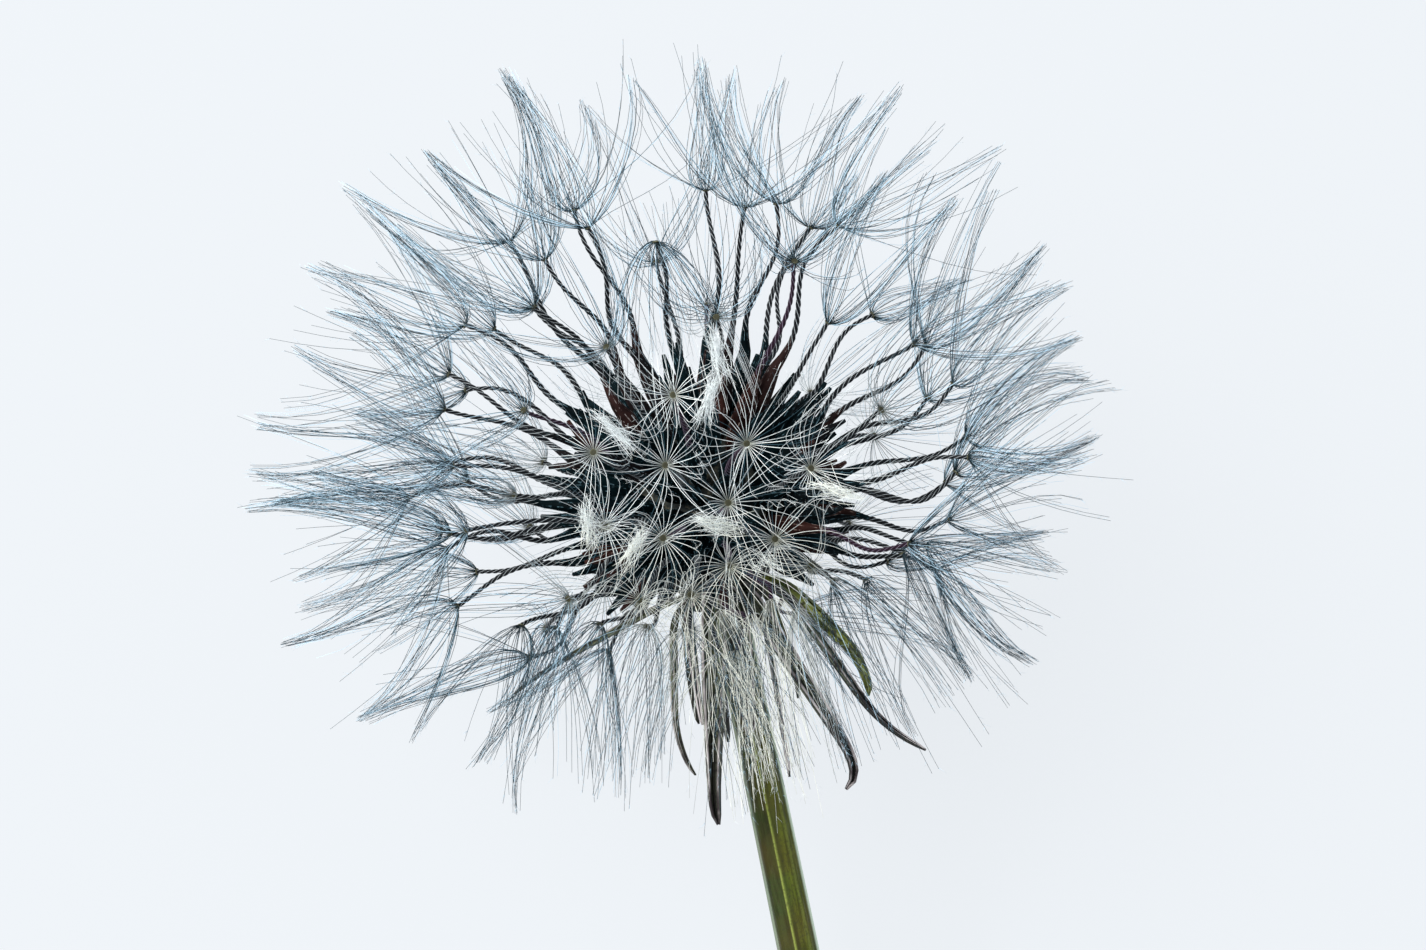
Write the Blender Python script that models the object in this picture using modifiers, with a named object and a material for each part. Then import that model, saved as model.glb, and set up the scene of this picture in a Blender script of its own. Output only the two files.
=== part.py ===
"""A dandelion seed head on a short cut stem, lying on a surface.

The plant is modelled upright round its head's centre, with the stem down -Z and the side that faces
the viewer towards -Y. An empty then lays it down: the head rests on the hairs that it flattens, and
the stem slopes from the head to the surface. Three solids make it: the hollow ribbed stem, the cup
with its turned-back bracts, and the seed head, in which every seed is fused to the pad it grows on.
"""

import itertools
import math
import random

import bmesh
import bpy
from mathutils import Matrix, Vector
from mathutils.bvhtree import BVHTree

MM = 0.001

# The head, measured from its centre
HEAD_HEIGHT = 21.5 * MM  # the centre above the surface
DISC_REACH = 16.7 * MM  # to the disc that ends each seed's beak
TUFT_REACH = 27.6 * MM  # to the furthest tufts round the sides, in which the hair tips gather
TUFT_REACH_TOP = 25.2 * MM
LOW_TUFT_SHORTFALL = 0.22  # share by which the tufts nearest the stem fall short
SEEDS = 92
LOWEST_SEED = math.radians(121)  # from the head's top, round towards the stem
TUFTS = 150
LOWEST_TUFT = math.radians(152)

# One seed, from its root on the pad to the hairs on its disc
RAYS = 6
RAY_LENGTH = 10.0 * MM
RAY_LEAN_AT_DISC = math.radians(62)  # a hair's lean from the seed's own line
RAY_LEAN_AT_TIP = math.radians(2)
TUFT_PULL = 0.75  # share of the way to its tuft that a tip is drawn
DISC_RADIUS = 0.5 * MM
DISC_RISE = 0.5 * MM
BEAK_RADIUS = 0.2 * MM
SHOULDER_RADIUS = 0.24 * MM
BELLY_RADIUS = 0.52 * MM
ROOT_RADIUS = 0.3 * MM
SEED_BODY_LENGTH = 4.7 * MM
BELLY_SHARE = 0.55  # where along the body it is widest
BEAK_BEND = 0.8 * MM

# The pad that the seeds stand on
PAD_RADIUS = 4.3 * MM
PAD_RISE = 5.0 * MM
PAD_CENTRE = -1.9 * MM  # the height of its widest round
PAD_BOTTOM = -5.2 * MM
ROOT_DEPTH = 0.7 * MM

# The cup under the pad, and its bracts
SEAT_GAP = 0.3 * MM
CUP_RADIUS = 3.1 * MM
CUP_FOOT_RADIUS = 2.3 * MM
CUP_BOTTOM = -8.0 * MM
SOCKET_DEPTH = 1.4 * MM
BRACT_WIDTH = 1.4 * MM
BRACT_THICKNESS = 0.6 * MM
BRACT_ROOT_RADIUS = 2.0 * MM
BRACT_STEPS = 7
BRACT_TURN_SHARE = 0.28  # share of a bract's length over which it turns back down
BRACT_CURL_SHARE = 0.4  # share of its length, at the tip, over which it curls
# Each bract, counted round the stem: where it grows in degrees from the right-hand side, its lean
# from the stem's line, its length in mm, and how far its tip curls away from the stem
BRACTS = (
    (180, 70, 12.6, -8),
    (-150, 16, 9.8, 20),
    (-129, 12, 11.8, 55),
    (-110, 10, 15.2, -6),
    (-78, 4, 13.2, 4),
    (-48, 15, 15.0, -42),
    (-22, 21, 11.6, 8),
    (4, 24, 15.6, 16),
    (33, 18, 12.6, -30),
    (62, 10, 12.8, 14),
    (92, 8, 12.4, 38),
    (122, 10, 13.0, -24),
    (152, 18, 11.0, 12),
)

# The stem
STEM_REACH = 52.0 * MM  # from the head's centre to the cut end
STEM_TOP_RADIUS = 1.12 * MM
STEM_END_RADIUS = 1.45 * MM
STEM_WALL = 0.42 * MM
STEM_RIBS = 9
RIB_RISE = 0.09  # share of the radius that the ribs stand out
STEM_STEPS = 8
STEM_BOW = 0.9 * MM

LAY_ANGLE = math.asin((HEAD_HEIGHT - STEM_END_RADIUS) / STEM_REACH)
GOLDEN_ANGLE = math.pi * (3 - math.sqrt(5))
LEAST_RAY_HEIGHT = 0.6 * MM
CLEARANCE = 0.75 * MM  # from a hair's or a beak's centreline to the bracts and the stem
RANDOM_SEED = 7

LAID = Matrix.Translation((0, 0, HEAD_HEIGHT)) @ Matrix.Rotation(LAY_ANGLE - math.pi / 2, 4, "X")
STOOD = LAID.inverted()


# ---------------------------------------------------------------- helpers


def clear_scene():
    for thing in list(bpy.data.objects):
        bpy.data.objects.remove(thing, do_unlink=True)


def new_collection(name):
    collection = bpy.data.collections.new(name)
    bpy.context.scene.collection.children.link(collection)
    return collection


def material(name, colour, roughness):
    made = bpy.data.materials.new(name)
    made.use_nodes = True
    shader = made.node_tree.nodes["Principled BSDF"]
    shader.inputs["Base Color"].default_value = (*colour, 1)
    shader.inputs["Roughness"].default_value = roughness
    shader.inputs["Metallic"].default_value = 0
    return made


def object_from(bm, name, collection, finish=None):
    """Ends a bmesh as an object in the collection."""
    mesh = bpy.data.meshes.new(name)
    bmesh.ops.recalc_face_normals(bm, faces=bm.faces)
    bm.to_mesh(mesh)
    bm.free()
    made = bpy.data.objects.new(name, mesh)
    if finish:
        mesh.materials.append(finish)
    collection.objects.link(made)
    return made


def evaluated_mesh(thing):
    """A new mesh of the object as its modifiers, or its curve's bevel, leave it."""
    bpy.context.view_layer.update()
    graph = bpy.context.evaluated_depsgraph_get()
    return bpy.data.meshes.new_from_object(thing.evaluated_get(graph))


def apply_modifiers(thing):
    finished = evaluated_mesh(thing)
    thing.modifiers.clear()
    thing.data = finished


def join_repeats(base, repeats, solver="EXACT"):
    """Fuses a collection of repeats to the body that they grow from, and removes them."""
    union = base.modifiers.new("grown together", "BOOLEAN")
    union.operation = "UNION"
    union.solver = solver
    union.operand_type = "COLLECTION"
    union.collection = repeats
    apply_modifiers(base)
    for repeat in list(repeats.objects):
        bpy.data.objects.remove(repeat, do_unlink=True)
    bpy.data.collections.remove(repeats)


def shade(thing, sharp_angle=35):
    thing.data.shade_smooth()
    thing.data.set_sharp_from_angle(angle=math.radians(sharp_angle))


def frame_along(direction):
    """A rotation whose Z is the direction."""
    return direction.to_track_quat("Z", "Y").to_matrix()


def spread_points(count, lowest, jitter, rng):
    """Unit vectors spread evenly round the head, from its top down to the lowest angle."""
    for index in range(count):
        height = 1 - (index + 0.5) / count * (1 - math.cos(lowest))
        across = math.sqrt(max(0, 1 - height * height))
        turn = index * GOLDEN_ANGLE
        nudge = Vector([rng.uniform(-jitter, jitter) for _ in range(3)])
        yield (Vector((across * math.cos(turn), across * math.sin(turn), height)) + nudge).normalized()


def off_the_floor(point, least=0.0):
    """The point in the plant's frame, raised to the surface that the plant lies on if it is under it."""
    laid = LAID @ point
    laid.z = max(laid.z, least)
    return STOOD @ laid


# ---------------------------------------------------------------- stem


def rib_outline(helpers):
    """A closed outline of the stem's section at radius 1, with its ribs."""
    outline = bpy.data.curves.new("rib outline", "CURVE")
    spline = outline.splines.new("POLY")
    corners = STEM_RIBS * 2
    spline.points.add(corners - 1)
    for index in range(corners):
        turn = 2 * math.pi * index / corners
        radius = 1 if index % 2 == 0 else 1 - RIB_RISE
        spline.points[index].co = (radius * math.cos(turn), radius * math.sin(turn), 0, 1)
    spline.use_cyclic_u = True
    made = bpy.data.objects.new("rib outline", outline)
    made.hide_render = True
    made.display_type = "WIRE"
    helpers.objects.link(made)
    return made


def make_stem(collection, helpers, finish):
    """A hollow tube along a slightly bowed line, open at both ends."""
    line = bpy.data.curves.new("stem line", "CURVE")
    line.dimensions = "3D"
    line.bevel_mode = "OBJECT"
    line.bevel_object = rib_outline(helpers)
    line.twist_mode = "MINIMUM"
    spline = line.splines.new("POLY")
    spline.points.add(STEM_STEPS)
    top = CUP_BOTTOM + SOCKET_DEPTH - SEAT_GAP
    for index in range(STEM_STEPS + 1):
        share = index / STEM_STEPS
        bow = STEM_BOW * math.sin(math.pi * share)
        spline.points[index].co = (0, bow, top + share * (-STEM_REACH - top), 1)
        spline.points[index].radius = STEM_TOP_RADIUS + share * (STEM_END_RADIUS - STEM_TOP_RADIUS)
    curve = bpy.data.objects.new("stem line", line)
    helpers.objects.link(curve)
    tube = bmesh.new()
    tube.from_mesh(evaluated_mesh(curve))
    bpy.data.objects.remove(curve)
    stem = object_from(tube, "stem", collection, finish)
    wall = stem.modifiers.new("wall", "SOLIDIFY")
    wall.thickness = STEM_WALL
    wall.offset = -1
    wall.use_even_offset = False
    shade(stem)
    return stem


# ---------------------------------------------------------------- cup and bracts


def make_cup(collection, finish):
    """The turned cup between the pad and the stem, with the socket that the stem stands in."""
    top = PAD_BOTTOM - SEAT_GAP
    socket = STEM_TOP_RADIUS + SEAT_GAP
    profile = [
        (0, top),
        (CUP_RADIUS * 0.9, top),
        (CUP_RADIUS, top - 0.5 * MM),
        (CUP_FOOT_RADIUS, CUP_BOTTOM + 0.4 * MM),
        (CUP_FOOT_RADIUS * 0.85, CUP_BOTTOM),
        (socket, CUP_BOTTOM),
        (socket, CUP_BOTTOM + SOCKET_DEPTH),
        (0, CUP_BOTTOM + SOCKET_DEPTH),
    ]
    bm = bmesh.new()
    verts = [bm.verts.new((radius, 0, height)) for radius, height in profile]
    for first, second in zip(verts, verts[1:]):
        bm.edges.new((first, second))
    cup = object_from(bm, "bracts", collection, finish)
    turned = cup.modifiers.new("turned", "SCREW")
    turned.steps = turned.render_steps = 20
    turned.use_merge_vertices = True
    turned.merge_threshold = 0.00001
    apply_modifiers(cup)
    return cup


def bract_line(lean, length, curl):
    """The centreline of one bract as (distance from the stem's axis, height, heading)."""
    radius, height = BRACT_ROOT_RADIUS, CUP_BOTTOM + 0.9 * MM
    step = length / BRACT_STEPS
    line = []
    for index in range(BRACT_STEPS + 1):
        share = index / BRACT_STEPS
        turned_down = min(1, share / BRACT_TURN_SHARE) ** 0.8
        curled = max(0, share - 1 + BRACT_CURL_SHARE) / BRACT_CURL_SHARE
        heading = (math.pi / 2 - lean) * turned_down - curl * curled
        line.append((radius, height, heading))
        radius += step * math.cos(heading)
        height -= step * math.sin(heading)
    return line


def bract_half_width(share):
    """Widest in the middle, and narrowing from there to a blunt point."""
    swell = 0.85 + 0.3 * math.sin(math.pi * share)
    taper = 1 - 1.9 * max(0, share - 0.35) ** 2
    return BRACT_WIDTH / 2 * swell * taper


def make_bract(collection, turn, lean, length, curl):
    """One blade, arched across its width, reaching out of the cup and turning back down the stem."""
    bm = bmesh.new()
    bmesh.ops.create_grid(bm, x_segments=2, y_segments=BRACT_STEPS, size=1)
    line = bract_line(lean, length, curl)
    for vert in bm.verts:
        share = (vert.co.y + 1) / 2
        radius, height, heading = line[round(share * BRACT_STEPS)]
        arch = -0.22 * BRACT_WIDTH * abs(vert.co.x)
        out = radius + arch * math.sin(heading)
        vert.co = (out, vert.co.x * bract_half_width(share), height + arch * math.cos(heading))
    blade = object_from(bm, "bract", collection)
    blade.matrix_world = Matrix.Rotation(turn, 4, "Z")
    skin = blade.modifiers.new("thickness", "SOLIDIFY")
    skin.thickness = BRACT_THICKNESS
    skin.offset = 0


def make_bracts(collection, finish):
    cup = make_cup(collection, finish)
    blades = new_collection("bract blades")
    for turn, lean, length, curl in BRACTS:
        make_bract(blades, math.radians(turn), math.radians(lean), length * MM, math.radians(curl))
    join_repeats(cup, blades, "MANIFOLD")
    shade(cup)
    return cup


# ---------------------------------------------------------------- seeds


def make_pad(collection, finish):
    """The domed pad, cut flat below where it sits on the cup."""
    bm = bmesh.new()
    bmesh.ops.create_uvsphere(bm, u_segments=14, v_segments=9, radius=1)
    bmesh.ops.scale(bm, vec=(PAD_RADIUS, PAD_RADIUS, PAD_RISE), verts=bm.verts)
    bmesh.ops.translate(bm, vec=(0, 0, PAD_CENTRE), verts=bm.verts)
    cut = bmesh.ops.bisect_plane(
        bm,
        geom=bm.verts[:] + bm.edges[:] + bm.faces[:],
        plane_co=(0, 0, PAD_BOTTOM),
        plane_no=(0, 0, -1),
        clear_outer=True,
    )
    rim = [piece for piece in cut["geom_cut"] if isinstance(piece, bmesh.types.BMEdge)]
    bmesh.ops.edgeloop_fill(bm, edges=rim)
    return object_from(bm, "seeds", collection, finish)


def on_pad(direction):
    """The point of the pad's surface in that direction from its centre."""
    scaled = Vector((direction.x / PAD_RADIUS, direction.y / PAD_RADIUS, direction.z / PAD_RISE))
    return Vector((0, 0, PAD_CENTRE)) + direction / scaled.length


def extrude_to(bm, face, centre, size):
    """Extrudes a face to a new centre, and scales it there."""
    moved = bmesh.ops.extrude_discrete_faces(bm, faces=[face])["faces"][0]
    old_centre = moved.calc_center_median()
    for vert in moved.verts:
        vert.co = centre + (vert.co - old_centre) * size
    return moved


def ray_offsets(share):
    """How far out and up a hair has gone by a share of its length: its lean falls evenly along it."""
    lean = RAY_LEAN_AT_DISC + (RAY_LEAN_AT_TIP - RAY_LEAN_AT_DISC) * share
    turned = RAY_LEAN_AT_DISC - lean
    out = (math.cos(lean) - math.cos(RAY_LEAN_AT_DISC)) / turned * share * RAY_LENGTH
    up = (math.sin(RAY_LEAN_AT_DISC) - math.sin(lean)) / turned * share * RAY_LENGTH
    return out, up


def ray_points(disc, along, side, tufts, length):
    """A hair's middle and tip, the tip drawn towards the nearest tuft, and neither under the surface."""
    out, up = ray_offsets(1)
    free_tip = disc + side * out + along * up
    tuft = min(tufts, key=lambda point: (point - free_tip).length)
    tip = free_tip.lerp(tuft, TUFT_PULL)
    out, up = ray_offsets(0.5)
    middle = disc + side * out + along * up + (tip - free_tip) * 0.25
    middle, tip = disc.lerp(middle, length), disc.lerp(tip, length)
    return off_the_floor(middle, LEAST_RAY_HEIGHT), off_the_floor(tip)


def clears_others(points, others):
    """Whether a line through the points keeps its distance from the stem and the bracts."""
    for first, second in zip(points, points[1:]):
        for step in range(7):
            if others.find_nearest(first.lerp(second, step / 6), CLEARANCE)[0]:
                return False
    return True


def draw_ray(bm, face, disc, along, tufts, others):
    """Draws one side face of the disc out into a hair, swung or shortened until it is clear."""
    side = face.calc_center_median() - disc
    side = (side - along * side.dot(along)).normalized()
    for swing, length in itertools.product((0, 0.3, -0.3, 0.6, -0.6), (1, 0.8, 0.6, 0.4)):
        swung = Matrix.Rotation(swing, 3, along) @ side
        middle, tip = ray_points(disc, along, swung, tufts, length)
        if clears_others((disc, middle, tip), others):
            break
    at_middle = extrude_to(bm, face, middle, 0.5)
    at_tip = extrude_to(bm, at_middle, tip, 0.2)
    bmesh.ops.pointmerge(bm, verts=at_tip.verts[:], merge_co=tip)


def halve_corners(bm, face, centre, radius):
    """Extrudes the disc's six-cornered underside, and merges its corners in pairs into a three-sided beak."""
    narrowed = extrude_to(bm, face, centre, radius / DISC_RADIUS)
    corners = narrowed.verts[:]
    for first, second in zip(corners[0::2], corners[1::2]):
        bmesh.ops.pointmerge(bm, verts=[first, second], merge_co=(first.co + second.co) / 2)
    bm.faces.ensure_lookup_table()
    return next(f for f in bm.faces if (f.calc_center_median() - centre).length < radius and len(f.verts) == 3)


def make_seed(collection, direction, tufts, others, rng):
    """One seed: root, ribless body, beak and disc, with its hairs drawn out of the disc's sides."""
    root = on_pad(direction)
    disc = off_the_floor(direction * DISC_REACH * rng.uniform(0.94, 1.02), 2.2 * MM)
    while not clears_others((root.lerp(disc, 0.4), disc), others):
        direction = (direction + Vector((0, 0, 0.05))).normalized()
        root, disc = on_pad(direction), direction * disc.length
    line = (disc - root).normalized()
    bend = line.orthogonal().normalized() * BEAK_BEND * rng.uniform(0.3, 1)
    bend.rotate(Matrix.Rotation(rng.uniform(0, 2 * math.pi), 3, line))
    along = (line - bend * 0.25 / BEAK_BEND).normalized()
    place = Matrix.Translation(disc) @ frame_along(along).to_4x4()
    place @= Matrix.Rotation(rng.uniform(0, math.pi), 4, "Z")

    bm = bmesh.new()
    bmesh.ops.create_cone(bm, cap_ends=True, segments=RAYS, radius1=1, radius2=0, depth=1)
    bmesh.ops.scale(bm, vec=(DISC_RADIUS, DISC_RADIUS, DISC_RISE), verts=bm.verts)
    bm.transform(place)
    underside = next(face for face in bm.faces if len(face.verts) == RAYS)
    sides = [face for face in bm.faces if len(face.verts) == 3]
    for face in sides:
        draw_ray(bm, face, disc, along, tufts, others)

    underside = halve_corners(bm, underside, disc - along * 0.9 * MM, BEAK_RADIUS)
    shoulder = root + line * SEED_BODY_LENGTH
    belly = root + line * SEED_BODY_LENGTH * BELLY_SHARE
    middle = (shoulder + disc) / 2 + bend
    for centre, size in (
        (middle, 1),
        (shoulder, SHOULDER_RADIUS / BEAK_RADIUS),
        (belly, BELLY_RADIUS / SHOULDER_RADIUS),
        (root - line * ROOT_DEPTH, ROOT_RADIUS / BELLY_RADIUS),
    ):
        underside = extrude_to(bm, underside, centre, size)
    return object_from(bm, "seed", collection)


def tuft_points(rng):
    """The points in which hair tips gather, nearer the centre towards the stem."""
    points = []
    for direction in spread_points(TUFTS, LOWEST_TUFT, 0.08, rng):
        lowness = (1 - direction.z) / 2
        share = (1 - LOW_TUFT_SHORTFALL * lowness) * rng.uniform(0.96, 1.0)
        reach = Vector((TUFT_REACH, TUFT_REACH, TUFT_REACH_TOP)) * share
        points.append(direction * reach)
    return points


def surfaces_of(*things):
    """One tree of these objects' evaluated surfaces, in the plant's frame."""
    gathered = bmesh.new()
    for thing in things:
        gathered.from_mesh(evaluated_mesh(thing))
    return BVHTree.FromBMesh(gathered)


def make_seeds(collection, finish, others):
    rng = random.Random(RANDOM_SEED)
    pad = make_pad(collection, finish)
    tufts = tuft_points(rng)
    seeds = new_collection("single seeds")
    for direction in list(spread_points(SEEDS, LOWEST_SEED, 0.06, rng)):
        make_seed(seeds, direction, tufts, others, rng)
    join_repeats(pad, seeds)
    shade(pad)
    return pad


# ---------------------------------------------------------------- the whole plant


def lay_down(pieces):
    """Parents the pieces to an empty that lays the plant down, with its box centred over the origin."""
    plant = bpy.data.objects.new("plant", None)
    bpy.context.scene.collection.objects.link(plant)
    plant.matrix_world = LAID
    for piece in pieces:
        piece.parent = plant
    corners = [LAID @ vert.co for piece in pieces for vert in evaluated_mesh(piece).vertices]
    low = Vector([min(corner[axis] for corner in corners) for axis in range(3)])
    high = Vector([max(corner[axis] for corner in corners) for axis in range(3)])
    plant.location -= Vector(((low.x + high.x) / 2, (low.y + high.y) / 2, low.z))


def main():
    clear_scene()
    plant = new_collection("Dandelion seed head")
    helpers = new_collection("helpers")
    stem_green = material("stem green", (0.16, 0.19, 0.04), 0.5)
    bract_green = material("bract grey green", (0.09, 0.1, 0.06), 0.7)
    seed_grey = material("seed and hair grey", (0.34, 0.38, 0.4), 0.6)
    stem = make_stem(plant, helpers, stem_green)
    bracts = make_bracts(plant, bract_green)
    seeds = make_seeds(plant, seed_grey, surfaces_of(stem, bracts))
    lay_down([stem, bracts, seeds])


main()
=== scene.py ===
"""The looks of the dandelion seed head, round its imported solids.

Every piece is modelled once, straight up the Z axis, and its copies are bent along their own lines:
a seed's body and beak from the pad to its disc, a hair from the disc to its tuft, a bract from the
cup down past the stem. The lines are worked out in the plant's own frame, with the head's centre at
its origin, the stem down -Z and the viewer's side towards -Y, and LAID puts them where they lie.
"""

import math
import random

import bpy
import numpy as np
from mathutils import Matrix, Vector


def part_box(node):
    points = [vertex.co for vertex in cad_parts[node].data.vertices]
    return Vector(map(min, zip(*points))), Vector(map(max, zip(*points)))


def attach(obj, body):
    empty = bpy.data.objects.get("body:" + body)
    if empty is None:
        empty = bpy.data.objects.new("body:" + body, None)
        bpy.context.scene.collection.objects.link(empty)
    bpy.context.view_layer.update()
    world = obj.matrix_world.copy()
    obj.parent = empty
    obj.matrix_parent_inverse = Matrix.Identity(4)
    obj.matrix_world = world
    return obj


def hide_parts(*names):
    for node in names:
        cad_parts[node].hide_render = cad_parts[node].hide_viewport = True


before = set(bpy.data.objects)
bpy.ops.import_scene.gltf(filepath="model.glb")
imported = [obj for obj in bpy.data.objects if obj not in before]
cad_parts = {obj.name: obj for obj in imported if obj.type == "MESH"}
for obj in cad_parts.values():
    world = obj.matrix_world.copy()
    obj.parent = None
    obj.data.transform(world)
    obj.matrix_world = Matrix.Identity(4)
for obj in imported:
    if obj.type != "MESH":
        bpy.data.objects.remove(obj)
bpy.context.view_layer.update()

MM = 0.001

# How the plant lies, as in its solids
HEAD_HEIGHT = 21.5 * MM
STEM_REACH = 52 * MM
STEM_TOP_RADIUS = 1.12 * MM
STEM_END_RADIUS = 1.45 * MM
LAY_ANGLE = math.asin((HEAD_HEIGHT - STEM_END_RADIUS) / STEM_REACH)
GOLDEN_ANGLE = math.pi * (3 - math.sqrt(5))
RANDOM_SEED = 7

# The head. A place on it is given in degrees round from its right-hand side and down from its top,
# and the viewer's side is at -90. Bare shares are of its radius or of the way towards a side.
SEED_PLACES = 104
SEED_JITTER = 0.08
SEED_GAP = math.radians(16)
LOWEST_SEED = math.radians(124)
LOST_AT_TOP = 0.3  # share of the seeds that have blown off the very top
CROWDING = (0, -0.2, -0.08)  # towards the viewer's side, where the seeds stand closer
LOW_DROOP = 0.25
CHOSEN_SEEDS = (  # how far the hairs of each group droop, and where its seeds stand
    (0.0, (
        (-92, 75), (-80, 87), (-109, 83), (-96, 88), (-69, 94), (-86, 97), (-111, 97), (-100, 102),
        (-58, 54), (-106, 60), (-53, 33), (-124, 72), (-50, 64), (-52, 86), (-112, 32),
    )),
    (LOW_DROOP, (
        (-78, 106), (-88, 109), (-107, 112), (-69, 115), (-97, 114), (-124, 110), (-48, 112),
    )),
    (1.3, (
        (-160, 118), (-142, 120), (-126, 121), (-113, 124), (-103, 127), (-96, 136), (-92, 124),
        (-90, 137), (-84, 127), (-78, 124), (-71, 128), (-60, 122), (-48, 124), (-34, 119),
        (-18, 119),
    )),
    (8.0, ((-89, 39),)),  # its hairs hang back round its beak
)
DISC_REACH = 16.7 * MM
DISC_REACHES = (0.88, 1.03)  # least and most, as shares of it
HANGING_REACH = 0.84

# Seed bodies that stand between the others, their beaks broken off
BARE_BODIES = 110
BARE_JITTER = 0.2
BARE_SHARE = 0.66  # how far along a bare body's line its stretched form reaches
LOWEST_BARE_BODY = math.radians(138)
HIGHEST_BARE_BODY = 0.88
FIRST_BEHIND = 0.3  # of the way back, past which more bare bodies close the gaps
FIRST_ASIDE = 0.66  # of the way to either side, past which still more stand
LAST_ASIDE = 0.5  # of the way back, up to which these stand
ASIDE_SHARE = 0.82

# The tufts, in which the tips of the hairs gather
TUFTS = 112
TUFT_JITTER = 0.09
TUFT_GAP = math.radians(12)
LOWEST_TUFT = math.radians(150)
HINDMOST_TUFT = 0.6  # of the way back, past which the hairs stand by themselves
LOW_FRONT = (-0.45, -0.3)  # forwards and down, past which only the hanging tufts stand
TUFT_REACH = 28.4 * MM
TUFT_REACH_TOP = 25.4 * MM
TUFT_REACHES = (0.92, 1.0)
LOW_TUFT_SHORTFALL = 0.16
TUFT_DRIFT = -0.8 * MM  # all of them, to the left
TUFT_LEAN = 0.3  # how far a tuft's hairs lean away from straight out
FACING_TUFTS = (  # turn and fall, and the way that the tip points, from the right up
    (-100, 82, 125), (-86, 80, 60), (-91, 96, 150), (-104, 92, 70), (-72, 97, -35), (-85, 75, 95),
    (-98, 96, 45),
)
FACING_TUFT_REACH = 25.2 * MM
FACING_TUFT_LEAN = 1.1
HANGING_TUFTS = (
    (-95, 147), (-89, 143), (-112, 134), (-122, 133), (-83, 140), (-70, 140), (-58, 138),
    (-129, 123), (-50, 132), (-40, 124),
)
HANGING_TUFT_REACH = 22.5 * MM
HANGING_TUFT_LEAN = (0, 0.35, -1.0)
HANGING_STRAY = 3.5  # how much wider the hanging tufts are than the others
FLUFF_HAIRS = 28  # the feathery ends of each tuft before the head
FLUFF_LENGTH = 2.6 * MM
FLUFF_STRAYS = (0.42, 0.34, 0.2)  # in mm, of such a hair's start, middle and end
FLUFF_OVERSHOOT = (-0.2, 0.25)

# The pad
PAD_RADIUS = 4.3 * MM
PAD_RISE = 5 * MM
PAD_CENTRE = -1.9 * MM
PAD_BOTTOM = -5.2 * MM
PAD_TOP_ANGLE = math.radians(84)
PAD_STEPS = 12

# One seed, by its share of the way from its root to its disc
BODY_SHARE = 0.42
BEND_START = BODY_SHARE * 0.8
BELLY_RADIUS = 0.56 * MM
BEAK_RADIUS = 0.14 * MM
BEAK_BEND = 0.95 * MM
BEAK_SWAY = 0.55  # of the bend, the other way half of its length
BEAK_STEPS = 42
STRAND_TWIST = math.radians(34)
FACING_BEND = 0.3  # of the others' bends, on the seeds straight before or behind the head
FACING_TURN = 0.5  # how far their hairs turn straight forwards or backwards
FACING_BLUENESS = 0.45  # how much farther from red-brown their bodies keep
FIRST_PURPLE = 0.85  # of the beaks, by each seed's own value
DISC_RADIUS = 0.22 * MM

# One hair
HAIRS = 30
FINE_HAIRS = 16  # thinner and paler ones, on most seeds, on facing ones and on hanging ones
FACING_FINE_HAIRS = 8
HANGING_FINE_HAIRS = 1
HAIR_STEPS = 8
HAIR_RADIUS = 0.022 * MM
FACING_HAIR_RADIUS = 0.0185 * MM
FINE_HAIR_RADIUS = 0.016 * MM
HAIR_TIP_SHARE = 0.5
LONGEST_HAIR = 11.3 * MM
HAIR_LENGTH = 9.4 * MM  # of a hair that stands by itself, and how far aside its tip is
HAIR_SPREAD = 4.8 * MM
HAIR_SIZES = (0.9, 1.06)
HAIR_JITTER = 0.35  # of the gap between two hairs, round the disc
HAIR_LEAN = math.radians(74)  # from its disc's line, where it leaves the disc
SEED_LEANS = (0.85, 1.06)  # a seed's least and most, as shares of it
LEAN_JITTER = math.radians(6)
HAIR_START_PULL = 0.26  # how long a hair keeps its first direction and its last, by its length
FACING_START_PULL = 0.36
HAIR_END_PULL = 0.34
FACING_OPENNESS = 0.72  # how wide the hairs open on a seed seen face on, at the sides and low down
SIDE_OPENNESS = 0.78
HANGING_OPENNESS = 0.7
FACING_DEPTH = 13 * MM  # from which, before or behind the head's middle, discs are face on
LOWEST_FACING = -8.5 * MM  # and down to which height
LOOSE_HAIRS = 0.14  # share of those that join no tuft, beside those too far from one
FARTHEST_DRAW = 7 * MM
FACING_DRAW = 2.4 * MM
SHORTFALL = 1.1  # in mm, of a hair before its tuft's point
LEAST_STRAY = 0.12 * MM  # off its tuft's line, and how much more by its shortfall
STRAY_WIDENING = 0.14
FLOOR_REACH = 1.5 * MM  # height under which all is pressed down, to this far above the surface
FLOOR_GAP = 0.04 * MM
SEEDS_A_PIECE = 40
BARBS = 10  # on each hair
BARB_LENGTH = 0.5 * MM
BARB_LENGTHS = (0.5, 1.3)
BARB_LEANS = (18, 50)  # in degrees
BARB_RADIUS = 0.009 * MM
BARBED_SHARE = 0.8  # of a hair, from its tip down

# Painted light on the hairs: where they are painted pale as lit, before and behind the seed bodies,
# and some before the stem; elsewhere they are painted slate as shaded
CORE_HALF_SIZE = (8.5 * MM, 6.4 * MM)
CORE_DROP = 0.4 * MM
CORE_EDGE = (0.95, 1.4)
LIT_DEPTH = 1.5 * MM  # from the head's middle
STEM_EDGE = (2.2 * MM, 5 * MM)
HIGHEST_BEFORE_STEM = -4 * MM
LIT_BEFORE_STEM = (0.0, 1.0, 1.0)  # how pale a hair is there, one of these by chance
LIT_ENOUGH = 0.6  # for a hair to be as thin as those of the facing seeds

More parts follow.
